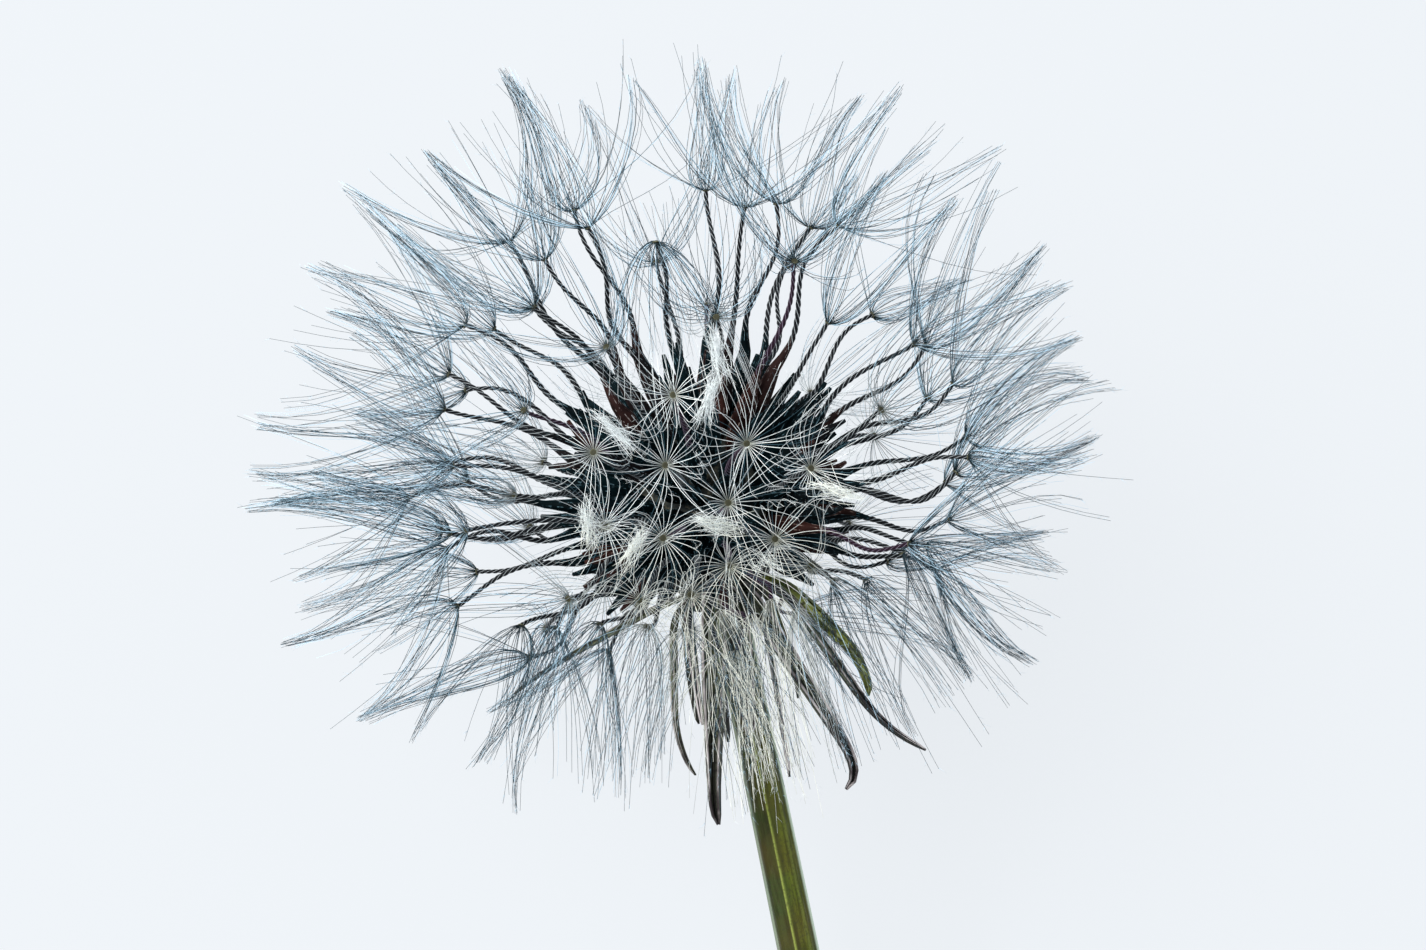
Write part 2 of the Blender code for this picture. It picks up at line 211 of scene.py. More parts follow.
# The cup, the bracts and the stem
CUP_TOP = PAD_BOTTOM - 0.3 * MM
CUP_RADIUS = 3.1 * MM
CUP_FOOT_RADIUS = 2.3 * MM
CUP_BOTTOM = -8 * MM
BRACT_THICKNESS = 0.13 * MM
BRACT_ROOT_RADIUS = 2 * MM
BRACT_ROOT = CUP_BOTTOM + 0.9 * MM
BRACT_TURN_SHARE = 0.28
BRACT_CURL_SHARE = 0.4
BRACT_STEPS = 24
BRACT_COLUMNS = 12
# Each bract: where it grows, its lean from the stem's line, its length in mm, how far its tip curls
# away, how far it turns sideways along its way and at its tip, its width in mm, how far its sides
# are rolled in, and how green it still is
BRACTS = (
    (180, 73, 11.6, -8, 0, 0, 1.15, 190, 0.2),
    (-156, 8, 10.9, -34, -9, 0, 0.9, 220, 0.3),
    (-138, 5, 7.6, 0, -2, 0, 0.9, 230, 0),
    (-99, 3, 13.7, -4, -12, 16, 2.8, 275, 0.15),
    (-84, 3, 8.6, 0, -4, 0, 1.7, 120, 0),
    (-54, 4, 11.6, 0, -6, 0, 0.45, 200, 0.1),
    (-72, 9, 14.0, 6, 20, -110, 1.9, 260, 0),
    (-30, 23, 14.0, 36, 8, 10, 1.15, 220, 0),
    (-16, 36, 9.4, -40, 4, 0, 2.0, 260, 1.0),
    (40, 12, 7.6, -20, 0, 0, 0.8, 150, 0.2),
    (78, 8, 8.6, 10, 0, 0, 0.8, 140, 0.1),
    (112, 5, 9.4, 14, 0, 0, 0.9, 150, 0),
    (146, 8, 7.8, -8, 0, 0, 0.8, 160, 0.1),
)
STEM_RIBS = 9
COLUMNS_A_RIB = 12
RIB_DEPTH = 0.085
RIB_UNEVENNESS = 0.3
# A painted highlight along the stem: the rib it lies on, and its half width and that of the duller
# one beside it
HIGHLIGHT_RIB = math.radians(96)  # round from the right-hand side to the viewer's
HIGHLIGHT_HALF_WIDTHS = (0.06, 0.11)  # of it and of the rib beside it, which is duller
SECOND_HIGHLIGHT = 0.3
STEM_STEPS = 30
STEM_WALL = 0.42 * MM
STEM_BOW = 0.9 * MM
STEM_TOP = CUP_BOTTOM + 1.1 * MM

# The view: square to the stem, with the plant's top leaning to the left
VIEW_LEAN = math.radians(11.6)
VIEW_DISTANCE = 228 * MM
VIEW_SHIFT = (0.75 * MM, -0.3 * MM)  # from the head's centre to the middle of the view
SURFACE_GLOW = 0.83
SKY_STRENGTH = 0.55
LIGHTS = (  # each lamp's direction from the head, its distance, size, power and colour
    ("key", (-0.6, -1.0, 0.6), 0.5, 0.35, 5.0, (1.0, 0.99, 0.96)),
    ("fill", (0.9, -0.6, 0.1), 0.6, 0.5, 1.5, (0.94, 0.97, 1.0)),
)


def plant_place():
    """Where the plant's frame lies, from the stem's solid."""
    low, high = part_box("stem")
    along = low.y + STEM_REACH * math.cos(LAY_ANGLE) + STEM_END_RADIUS * math.sin(LAY_ANGLE)
    place = Matrix.Translation(((low.x + high.x) / 2, along, HEAD_HEIGHT))
    return place @ Matrix.Rotation(LAY_ANGLE - math.pi / 2, 4, "X")


LAID = plant_place()
LAID_TURN = np.array(LAID.to_3x3())
LAID_SHIFT = np.array(LAID.translation)
UP = np.array([0, 0, 1.0])


# ---- modelling


def deselect_all():
    for thing in bpy.context.selected_objects:
        thing.select_set(False)


def edit():
    bpy.ops.object.mode_set(mode="EDIT")


def end_edit():
    bpy.ops.object.mode_set(mode="OBJECT")


def turned(sides, profile, groove=1.0, twist=0.0, closed=True):
    """A form raised ring by ring up the Z axis from a profile of (share of the way, radius).

    Every second column of a ring stands in by the groove, and each ring is turned on the last.
    """
    deselect_all()
    fill = "NGON" if closed else "NOTHING"
    bpy.ops.mesh.primitive_circle_add(
        vertices=sides, radius=profile[0][1], fill_type=fill, location=(0, 0, profile[0][0])
    )
    body = bpy.context.object
    bpy.ops.object.transform_apply(location=True, rotation=False, scale=False)
    if groove != 1:
        set_in_columns(body, groove)
    edit()
    bpy.ops.mesh.select_all(action="SELECT")
    for (share, radius), (next_share, next_radius) in zip(profile, profile[1:]):
        ring = (0, 0, next_share)
        scale = next_radius / radius
        rise = {"value": (0, 0, next_share - share)}
        bpy.ops.mesh.extrude_region_move(TRANSFORM_OT_translate=rise)
        bpy.ops.transform.resize(value=(scale, scale, 1), center_override=ring)
        if twist:
            bpy.ops.transform.rotate(value=twist, orient_axis="Z", center_override=ring)
    bpy.ops.mesh.select_all(action="SELECT")
    bpy.ops.mesh.normals_make_consistent(inside=False)
    end_edit()
    return Form(body)


def set_in_columns(body, groove):
    """Stands every second corner of a ring in towards its middle."""
    edit()
    bpy.ops.mesh.select_all(action="DESELECT")
    end_edit()
    for vert in body.data.vertices:
        vert.select = vert.index % 2 == 1
    edit()
    bpy.ops.transform.resize(value=(groove, groove, 1), center_override=(0, 0, 0))
    end_edit()


def model_cone(tip):
    """A three-sided cone of radius 1 and length 1, with a tip of this radius."""
    deselect_all()
    place = (0, 0, 0.5)
    bpy.ops.mesh.primitive_cone_add(vertices=3, radius1=1, radius2=tip, depth=1, location=place)
    bpy.ops.object.transform_apply(location=True, rotation=False, scale=False)
    return bpy.context.object


def model_hair():
    """A cone drawn thin at its tip, in steps along which it can bend."""
    hair = model_cone(HAIR_TIP_SHARE)
    edit()
    bpy.ops.mesh.select_mode(type="EDGE")
    bpy.ops.mesh.select_all(action="DESELECT")
    end_edit()
    for edge in hair.data.edges:
        ends = [hair.data.vertices[index].co.z for index in edge.vertices]
        edge.select = abs(ends[0] - ends[1]) > 0.5
    edit()
    bpy.ops.mesh.subdivide(number_cuts=HAIR_STEPS - 1)
    bpy.ops.mesh.select_mode(type="VERT")
    end_edit()
    return Form(hair)


def model_blade(across, along):
    """A flat strip from -1 to 1 across X and from 0 to 1 up Z."""
    deselect_all()
    bpy.ops.mesh.primitive_grid_add(x_subdivisions=across, y_subdivisions=along, size=2)
    blade = bpy.context.object
    edit()
    bpy.ops.transform.rotate(value=-math.pi / 2, orient_axis="X", center_override=(0, 0, 0))
    bpy.ops.transform.translate(value=(0, 0, 1))
    bpy.ops.transform.resize(value=(1, 1, 0.5), center_override=(0, 0, 0))
    end_edit()
    return Form(blade)


class Form:
    """A modelled piece's vertices and faces, kept to be copied along lines."""

    def __init__(self, model):
        mesh = model.data
        self.points = np.array([vert.co for vert in mesh.vertices])
        self.faces = [list(face.vertices) for face in mesh.polygons]
        shares = np.round(self.points[:, 2], 5)
        self.stations, self.station_of = np.unique(shares, return_inverse=True)
        self.station_of = self.station_of.reshape(-1)
        bpy.data.objects.remove(model)
        bpy.data.meshes.remove(mesh)

    def ridges(self):
        """1 on the outer columns of each ring and 0 on the grooves between them."""
        radii = np.hypot(self.points[:, 0], self.points[:, 1])
        widest = np.zeros(len(self.stations))
        np.maximum.at(widest, self.station_of, radii)
        return (radii > 0.93 * widest[self.station_of]).astype(float)

    def each_copy(self, values):
        """One value of each copy, at all its corners."""
        return np.repeat(np.reshape(values, (-1, 1)), len(self.points), 1)


def smooth_step(values, low, high):
    share = np.clip((values - low) / (high - low), 0, 1)
    return share * share * (3 - 2 * share)


def fading(values, full, gone):
    """1 up to the one value, 0 past the other, and a smooth step between."""
    return smooth_step(-values, -gone, -full)


def unit(vectors):
    return vectors / np.maximum(np.linalg.norm(vectors, axis=-1, keepdims=True), 1e-12)


def laid(points):
    """Where points of the plant's frame lie, with none under the surface."""
    placed = points @ LAID_TURN.T + LAID_SHIFT
    height = placed[..., 2]
    pressed = FLOOR_REACH * np.exp(np.minimum(height, FLOOR_REACH) / FLOOR_REACH - 1)
    placed[..., 2] = np.where(height > FLOOR_REACH, height, pressed + FLOOR_GAP)
    return placed


def bend(form, lines, sideways, widths=1.0):
    """A copy of the form along each line, with its X towards sideways: (copies, vertices, 3)."""
    heading = unit(np.gradient(lines, axis=1))
    sideways = sideways[:, None, :]
    sideways = unit(sideways - heading * np.sum(sideways * heading, -1, keepdims=True))
    upwards = np.cross(heading, sideways)
    at = form.station_of
    spread = form.points[None, :, :2] * np.reshape(widths, (-1, 1, 1))
    return lines[:, at] + sideways[:, at] * spread[..., :1] + upwards[:, at] * spread[..., 1:]


def add_object(name, data):
    made = bpy.data.objects.new(name, data)
    bpy.context.scene.collection.objects.link(made)
    return made


def grow(name, form, lines, sideways, attributes, look, node, widths=1.0):
    """A piece of copies of the form, bent along these lines of the plant's frame."""
    copies = bend(form, laid(lines), sideways @ LAID_TURN.T, widths)
    return piece(name, copies, form.faces, attributes, look, node)


def piece(name, copies, faces, attributes, look, node):
    """One object of all the copies of a form, in place of the solid of this node."""
    count, corners = copies.shape[:2]
    sizes = np.array([len(face) for face in faces])
    loops = np.concatenate(faces)
    all_loops = (loops[None, :] + np.arange(count)[:, None] * corners).reshape(-1)
    starts = np.concatenate([[0], np.cumsum(np.tile(sizes, count))[:-1]])
    mesh = bpy.data.meshes.new(name)
    mesh.vertices.add(count * corners)
    mesh.vertices.foreach_set("co", copies.reshape(-1).astype(np.float32))
    mesh.loops.add(len(all_loops))
    mesh.loops.foreach_set("vertex_index", all_loops.astype(np.int32))
    mesh.polygons.add(len(starts))
    mesh.polygons.foreach_set("loop_start", starts.astype(np.int32))
    mesh.update(calc_edges=True)
    mesh.validate()
    for label, values in attributes.items():
        kept = mesh.attributes.new(label, "FLOAT", "POINT")
        kept.data.foreach_set("value", np.ascontiguousarray(values, np.float32).reshape(-1))
    mesh.materials.append(look)
    mesh.shade_smooth()
    made = add_object(name, mesh)
    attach(made, "root")
    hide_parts(node)
    return made


# ---- materials


class Nodes:
    """A node tree and short ways to add nodes to it."""

    def __init__(self, tree):
        self.tree = tree

    def node(self, kind, **inputs):
        return self.fill(self.tree.nodes.new("ShaderNode" + kind), inputs)

    def fill(self, node, inputs):
        for label, value in inputs.items():
            self.feed(node.inputs[label.replace("_", " ")], value)
        return node

    def feed(self, socket, value):
        if isinstance(value, bpy.types.NodeSocket):
            self.tree.links.new(value, socket)
        else:
            socket.default_value = value

    def maths(self, operation, *values):
        made = self.node("Math")
        made.operation = operation
        for socket, value in zip(made.inputs, values):
            self.feed(socket, value)
        return made.outputs[0]

    def times(self, first, second):
        return self.maths("MULTIPLY", first, second)

    def mix(self, share, first, second, blend_type="MIX"):
        made = self.node("Mix")
        made.data_type = "RGBA"
        made.blend_type = blend_type
        for index, value in ((0, share), (6, first), (7, second)):
            self.feed(made.inputs[index], value)
        return made.outputs[2]

    def tinted(self, colour, tint):
        return self.mix(1.0, colour, tint, "MULTIPLY")

    def ramp(self, share, *stops):
        made = self.node("ValToRGB", Fac=share)
        elements = made.color_ramp.elements
        while len(elements) < len(stops):
            elements.new(1)
        for element, (position, colour) in zip(elements, stops):
            element.position = position
            element.color = colour
        return made.outputs["Color"]

    def mask(self, share, low, high):
        """0 under the low value, 1 over the high one, and a smooth step between."""
        made = self.node("MapRange", Value=share, From_Min=low, From_Max=high)
        made.interpolation_type = "SMOOTHSTEP"
        return made.outputs["Result"]


class Group(Nodes):
    """A shader node group with named inputs and outputs."""

    def __init__(self, name, inputs, outputs):
        super().__init__(bpy.data.node_groups.new(name, "ShaderNodeTree"))
        for way, sockets in (("INPUT", inputs), ("OUTPUT", outputs)):
            for label, kind in sockets:
                kind = "NodeSocket" + kind
                self.tree.interface.new_socket(name=label, in_out=way, socket_type=kind)
        self.given = self.tree.nodes.new("NodeGroupInput").outputs
        self.result = self.tree.nodes.new("NodeGroupOutput").inputs


def weathering():
    """Clouds and small flecks over a dry plant's skin, from the place on it and the two sizes."""
    group = Group(
        "weathering",
        (("Place", "Vector"), ("Cloud Size", "Float"), ("Fleck Size", "Float")),
        (("Clouds", "Float"), ("Flecks", "Float")),
    )
    for kind, low, high in (("Cloud", 0.34, 0.66), ("Fleck", 0.5, 0.64)):
        scale = group.maths("DIVIDE", 1.0, group.given[kind + " Size"])
        noise = group.node("TexNoise", Vector=group.given["Place"], Scale=scale, Detail=3.0)
        group.feed(group.result[kind + "s"], group.mask(noise.outputs["Fac"], low, high))
    return group.tree


def hair_colours():
    """A hair's colour: slate as painted shade at the sides, cream as painted light before the core,
    straw as painted reflection where warm, each hair a little its own.
    """
    inputs = [(label, "Color") for label in ("Slate", "Cream", "Straw")]
    inputs += [(label, "Float") for label in HAIR_VALUES]
    group = Group("hair colours", inputs, (("Colour", "Color"),))
    given = group.given
    outer = group.mix(given["Lightness"], given["Slate"], given["Cream"])
    warm = group.mix(given["Warmth"], outer, given["Straw"])
    root = group.ramp(given["Share"], (0.0, rgb(0.4, 0.4, 0.34)), (0.1, rgb(1, 1, 1)))
    varied = group.ramp(given["Own"], (0.0, rgb(0.6, 0.62, 0.64)), (1.0, rgb(1.15, 1.15, 1.15)))
    group.feed(group.result["Colour"], group.tinted(group.tinted(warm, root), varied))
    return group.tree


class Look(Nodes):
    """A material, made round one shader."""

    def __init__(self, name, roughness, **settings):
        self.material = bpy.data.materials.new(name)
        self.material.use_nodes = True
        super().__init__(self.material.node_tree)
        self.shader = self.tree.nodes["Principled BSDF"]
        settings = {"Roughness": roughness, "Specular_IOR_Level": 0.25} | settings
        self.fill(self.shader, settings)

    def attribute(self, label):
        made = self.node("Attribute")
        made.attribute_name = label
        return made.outputs["Fac"]

    def place(self):
        return self.node("TexCoord").outputs["Object"]

    def group(self, tree, inputs):
        made = self.node("Group")
        made.node_tree = tree
        return self.fill(made, inputs).outputs

    def weathered(self, cloud_size, fleck_size, place=None):
        """The clouds and the flecks of these sizes."""
        sizes = {"Cloud Size": cloud_size, "Fleck Size": fleck_size}
        made = self.group(WEATHERING, {"Place": place or self.place()} | sizes)
        return made["Clouds"], made["Flecks"]

    def made_of(self, colour, height=None, depth=0):
        """The material with this colour, and a relief of this height and depth."""
        self.feed(self.shader.inputs["Base Color"], colour)
        if height:
            bump = self.node("Bump", Height=height, Distance=depth)
            self.feed(self.shader.inputs["Normal"], bump.outputs["Normal"])
        return self.material


def rgb(red, green, blue):
    return (red, green, blue, 1)


WEATHERING = weathering()
HAIR_VALUES = ("Lightness", "Warmth", "Share", "Own")
HAIR_COLOURS = hair_colours()
# Painted light on the hairs: slate is painted shade at the sides, cream painted light before the
# core, straw a painted reflection of the stem and bracts; the fine hairs' pale blue is painted
# backlight
HAIR_SHADED_SLATE = rgb(0.017, 0.039, 0.052)
HAIR_LIT_CREAM = rgb(0.92, 0.96, 0.96)
HAIR_REFLECTED_STRAW = rgb(0.8, 0.79, 0.66)
FINE_BACKLIT_BLUE = rgb(0.5, 0.72, 0.88)
FINE_LIT_CREAM = rgb(0.88, 0.93, 0.93)
FINE_DIM = rgb(0.035, 0.09, 0.12)


def hair_look(name, slate, cream, straw):
    """Silvery hairs."""
    look = Look(name, 0.5)
    inputs = {"Slate": slate, "Cream": cream, "Straw": straw}
    inputs |= {label: look.attribute(label.lower()) for label in HAIR_VALUES}
    return look.made_of(look.group(HAIR_COLOURS, inputs)["Colour"])


def body_look():
    """The ribbed seed bodies: blue-black to red-brown, with fine pale lines along their ridges."""
    look = Look("seed body", 0.6, Specular_IOR_Level=0.04)
    redness = look.mask(look.attribute("own"), 0.65, 0.95)
    clouds, flecks = look.weathered(1.2 * MM, 0.3 * MM)
    base = look.mix(redness, rgb(0.001, 0.005, 0.007), rgb(0.02, 0.008, 0.007))
    patches = look.mix(clouds, rgb(0.5, 0.5, 0.5), rgb(1.6, 1.5, 1.4))
    ridge = look.mix(redness, rgb(0.13, 0.24, 0.29), rgb(0.3, 0.22, 0.19))
    line = look.times(look.mask(look.attribute("ridge"), 0.74, 0.96), flecks)
    return look.made_of(look.mix(line, look.tinted(base, patches), ridge), clouds, 0.03 * MM)


def beak_look():
    """The twisted beaks: near black, with thin pale strands, and purple on some."""
    look = Look("beak", 0.45, Specular_IOR_Level=0.1)
    own = look.attribute("own")
    dark = look.mix(own, rgb(0.004, 0.005, 0.007), rgb(0.018, 0.008, 0.016))
    strand = look.mix(own, rgb(0.42, 0.46, 0.48), rgb(0.24, 0.2, 0.27))
    line = look.mask(look.attribute("ridge"), 0.76, 0.98)
    return look.made_of(look.mix(line, dark, strand))


def disc_look():
    """The discs: dark in the middle and at the rim, with an olive ring between."""
    look = Look("disc", 0.6)
    middle, ring, rim = rgb(0.02, 0.02, 0.02), rgb(0.12, 0.12, 0.07), rgb(0.03, 0.03, 0.015)
    colour = look.ramp(look.attribute("share"), (0.0, middle), (0.7, ring), (0.95, rim))
    clouds, _ = look.weathered(0.08 * MM, 0.05 * MM)
    return look.made_of(colour, clouds, 0.03 * MM)


def bract_look():
    """Withered bracts: grey beige with dark flecks, dark grey at the tips, pinkish at the edges."""
    look = Look("bract", 0.6, Specular_IOR_Level=0.2)
    across, along, own = (look.attribute(label) for label in ("across", "share", "own"))
    clouds, flecks = look.weathered(1.6 * MM, 0.26 * MM)
    grey = look.mix(clouds, rgb(0.014, 0.017, 0.014), rgb(0.085, 0.095, 0.07))
    green = look.mix(clouds, rgb(0.04, 0.055, 0.01), rgb(0.24, 0.27, 0.05))
    wave = look.maths("SINE", look.times(across, 15.0))
    veins = look.times(look.mask(wave, 0.4, 0.95), 0.45)
    veined = look.mix(veins, look.mix(own, grey, green), rgb(0.3, 0.34, 0.22))
    flecked = look.mix(look.times(flecks, 0.8), veined, rgb(0.018, 0.014, 0.014))
    tip = look.times(look.mask(along, 0.45, 0.75), look.maths("SUBTRACT", 0.88, own))
    tipped = look.mix(tip, flecked, rgb(0.022, 0.021, 0.022))
    edge = look.mask(look.maths("ABSOLUTE", across), 0.9, 1.0)
    edge = look.times(edge, look.maths("SUBTRACT", 1.0, own))
    pink = look.mix(clouds, rgb(0.03, 0.022, 0.025), rgb(0.5, 0.46, 0.46))
    return look.made_of(look.mix(edge, tipped, pink), wave, 0.05 * MM)


def stem_look():
    """The stem: dark olive, browner in clouds, in painted shade on its left and painted sunlight on
    its right, with a painted yellow-green highlight along one rib and a pale painted rim light.
    """
    look = Look("stem", 0.5, Specular_IOR_Level=0.12, Sheen_Weight=0.06, Sheen_Roughness=0.3)
    across = look.attribute("across")
    stretched = look.node("Mapping", Vector=look.place(), Scale=(1, 0.09, 0.2))
    streaks, _ = look.weathered(0.3 * MM, 0.3 * MM, stretched.outputs["Vector"])
    clouds, flecks = look.weathered(3.5 * MM, 0.16 * MM)
    shade = look.mix(streaks, rgb(0.006, 0.015, 0.003), rgb(0.022, 0.042, 0.009))
    sunny = look.mix(streaks, rgb(0.026, 0.038, 0.002), rgb(0.078, 0.098, 0.009))
    green = look.mix(look.mask(across, -0.35, 0.5), shade, sunny)
    brown = look.mix(look.times(clouds, 0.5), green, rgb(0.06, 0.04, 0.008))
    # painted highlight: a yellow-green line along the rib that faces the viewer
    highlight = look.mix(look.attribute("highlight"), brown, rgb(0.2, 0.24, 0.05))
    flecked = look.mix(look.times(flecks, 0.45), highlight, rgb(0.03, 0.03, 0.01))
    away = {axis: look.attribute(f"outward_{axis}") for axis in "XYZ"}
    outward = look.node("CombineXYZ", **away).outputs["Vector"]
    # painted rim light: a pale edge where the stem turns from view, stronger on its right-hand side
    rim = look.mask(look.node("LayerWeight", Normal=outward).outputs["Facing"], 0.46, 0.66)
    rim_light_paleness = look.maths("MULTIPLY_ADD", look.mask(across, 0.3, 0.6), 0.6, 0.3)
    colour = look.mix(look.times(rim, rim_light_paleness), flecked, rgb(0.5, 0.6, 0.48))
    return look.made_of(colour, streaks, 0.05 * MM)


def flesh_look():
    """The pad and the cup, where they show."""
    look = Look("pad and cup", 0.7, Specular_IOR_Level=0.1)
    clouds, flecks = look.weathered(0.8 * MM, 0.3 * MM)
    skin = look.mix(clouds, rgb(0.006, 0.009, 0.011), rgb(0.03, 0.034, 0.03))
    colour = look.mix(look.times(flecks, 0.5), skin, rgb(0.1, 0.09, 0.06))
    return look.made_of(colour, clouds, 0.1 * MM)


# ---- the seeds and their hairs


def drawn(count, width, draw, *limits):
    """Rows of random draws."""
    return np.array([[draw(*limits) for _ in range(width)] for _ in range(count)])


def spread_points(count, lowest, jitter, rng):
    """Unit vectors spread evenly round the head, from its top down to the lowest angle."""
    index = np.arange(count)
    height = 1 - (index + 0.5) / count * (1 - math.cos(lowest))
    across, turn = np.sqrt(1 - height * height), index * GOLDEN_ANGLE
    points = np.stack([across * np.cos(turn), across * np.sin(turn), height], 1)
    return unit(points + drawn(count, 3, rng.uniform, -jitter, jitter))


def places(pairs):
    """Unit vectors towards places given in degrees round the head and down from its top."""
    turn, fall = np.radians(np.array(pairs, float)).T
    return np.stack([np.cos(turn) * np.sin(fall), np.sin(turn) * np.sin(fall), np.cos(fall)], 1)


def clear_of(directions, taken, gap):
    """The directions at least this angle away from all those that are taken."""
    nearest = np.max(directions @ taken.T, 1)
    return directions[nearest < math.cos(gap)]


def crowded(directions):
    return unit(directions + np.array(CROWDING))


def tuft_points(rng):
    """The points in which hair tips gather, and the line along which each tuft's hairs end."""
    facing, hanging = places([place[:2] for place in FACING_TUFTS]), places(HANGING_TUFTS)
    free = crowded(spread_points(TUFTS, LOWEST_TUFT, TUFT_JITTER, rng))
    free = clear_of(free, np.concatenate([facing, hanging]), TUFT_GAP)
    free = free[(free[:, 1] >= LOW_FRONT[0]) | (free[:, 2] >= LOW_FRONT[1])]
    directions = np.concatenate([free, facing])
    lowness = (1 - directions[:, 2:]) / 2
    shares = drawn(len(directions), 1, rng.uniform, *TUFT_REACHES)
    reach = np.array([TUFT_REACH, TUFT_REACH, TUFT_REACH_TOP])
    points = directions * reach * (1 - LOW_TUFT_SHORTFALL * lowness) * shares
    points[len(free) :] = facing * FACING_TUFT_REACH
    leans = drawn(len(directions), 3, rng.gauss, 0, TUFT_LEAN)
    ways = np.radians([place[2] for place in FACING_TUFTS])
    leans[len(free) :] = FACING_TUFT_LEAN * np.stack([np.cos(ways), 0 * ways, np.sin(ways)], 1)
    axes = unit(directions + leans)
    points[: len(free), 0] += TUFT_DRIFT
    kept = np.append(free[:, 1] < HINDMOST_TUFT, [True] * len(facing))
    points = np.concatenate([points[kept], hanging * HANGING_TUFT_REACH])
    return points, np.concatenate([axes[kept], unit(hanging + np.array(HANGING_TUFT_LEAN))])


def standing_seeds(rng):
    """The directions of the seeds that still stand, which thin out at the top, and their droop."""
    chosen = places([place for _, group in CHOSEN_SEEDS for place in group])
    free = crowded(spread_points(SEED_PLACES, LOWEST_SEED, SEED_JITTER, rng))
    free = clear_of(free, chosen, SEED_GAP)
    chances = drawn(len(free), 1, rng.random)[:, 0]
    free = free[chances > LOST_AT_TOP * smooth_step(free[:, 2], 0.0, 0.9)]
    droop = [0] * len(free) + [amount for amount, group in CHOSEN_SEEDS for _ in group]
    return np.concatenate([free, chosen]), np.array(droop)


class Seeds:
    """Where each seed stands: root, disc, heading at the disc, and the two bends of its beak."""

    def __init__(self, directions, rng, droop=0.0):
        self.count = count = len(directions)
        scaled = directions / np.array([PAD_RADIUS, PAD_RADIUS, PAD_RISE])
        self.root = directions / np.linalg.norm(scaled, axis=1, keepdims=True) + PAD_CENTRE * UP
        reach = drawn(count, 1, rng.uniform, *DISC_REACHES) * DISC_REACH
        droop = np.reshape(np.broadcast_to(droop, count), (-1, 1))
        self.hanging = (droop[:, 0] > LOW_DROOP) & (directions[:, 2] < 0)
        self.disc = directions * np.where(self.hanging[:, None], HANGING_REACH * DISC_REACH, reach)
        line = unit(self.disc - self.root)
        across = drawn(count, 1, rng.choice, [(1, 0.3, 0.2), (0.2, 1, 0.3)])[:, 0]
        self.side = side = unit(np.cross(line, across))
        other = np.cross(line, side)
        self.facing = facing = smooth_step(np.abs(directions[:, 1:2]), 0.7, 0.9)
        most = BEAK_BEND * (1 - facing * (1 - FACING_BEND))
        amounts = drawn(count, 4, rng.uniform, -1, 1) * most
        self.bow = side * amounts[:, :1] + other * amounts[:, 1:2]
        self.sway = (side * amounts[:, 2:3] + other * amounts[:, 3:]) * BEAK_SWAY
        self.own = drawn(count, 1, rng.random)[:, 0]
        before, end = self.path([0.96]), self.path([1.0])
        forwards = np.sign(directions[:, 1:2]) * np.array([0, FACING_TURN, 0])
        pull = facing * forwards - droop * UP
        self.heading = unit(unit((end - before)[:, 0]) + pull)

    def path(self, shares):
        """Points on every seed's line at these shares of the way: (seeds, shares, 3)."""
        shares = np.asarray(shares)[None, :, None]
        straight = self.root[:, None] + (self.disc - self.root)[:, None] * shares
        beak = np.clip((shares - BEND_START) / (1 - BEND_START), 0, 1)
        bowed = self.bow[:, None] * np.sin(np.pi * beak) ** 1.3
        return straight + bowed + self.sway[:, None] * np.sin(2 * np.pi * beak)


def body_form():
    """A seed's body: a ribbed spindle, widest past its middle, with a cone under the beak."""
    sizes = (0.45, 0.7, 0.93, 1.0, 0.93, 0.78, 0.6, 0.43, 0.3, 0.2)
    shares = (-0.05, 0.03, 0.09, 0.15, 0.21, 0.27, 0.33, 0.39, 0.45, 0.5)
    profile = [(share, size * BELLY_RADIUS) for share, size in zip(shares, sizes)]
    return turned(16, profile, groove=0.8)


def beak_form():
    """A beak: a cord of three strands, thinnest in its middle and flared under the disc."""
    profile = []
    for share in np.linspace(BODY_SHARE, 1.0, BEAK_STEPS):
        beak = (share - BODY_SHARE) / (1 - BODY_SHARE)
        profile.append((share, BEAK_RADIUS * (1.35 - 0.6 * beak + 0.3 * beak**8)))
    return turned(8, profile, groove=0.66, twist=STRAND_TWIST)


def disc_form():
    """The little cushion at the beak's end that the hairs grow from."""
    profile = ((-0.3, 0.45), (-0.12, 0.85), (0.08, 1.0), (0.2, 0.85), (0.28, 0.5), (0.3, 0.1))
    return turned(10, profile)


def make_along(name, seeds, form, values, look, length=1.0):
    """A copy of a ribbed form along each seed's line, with each seed's own value."""
    ridge = np.tile(form.ridges(), (seeds.count, 1))
    attributes = {"own": form.each_copy(values), "ridge": ridge}
    grow(name, form, seeds.path(form.stations * length), seeds.side, attributes, look, "seeds")


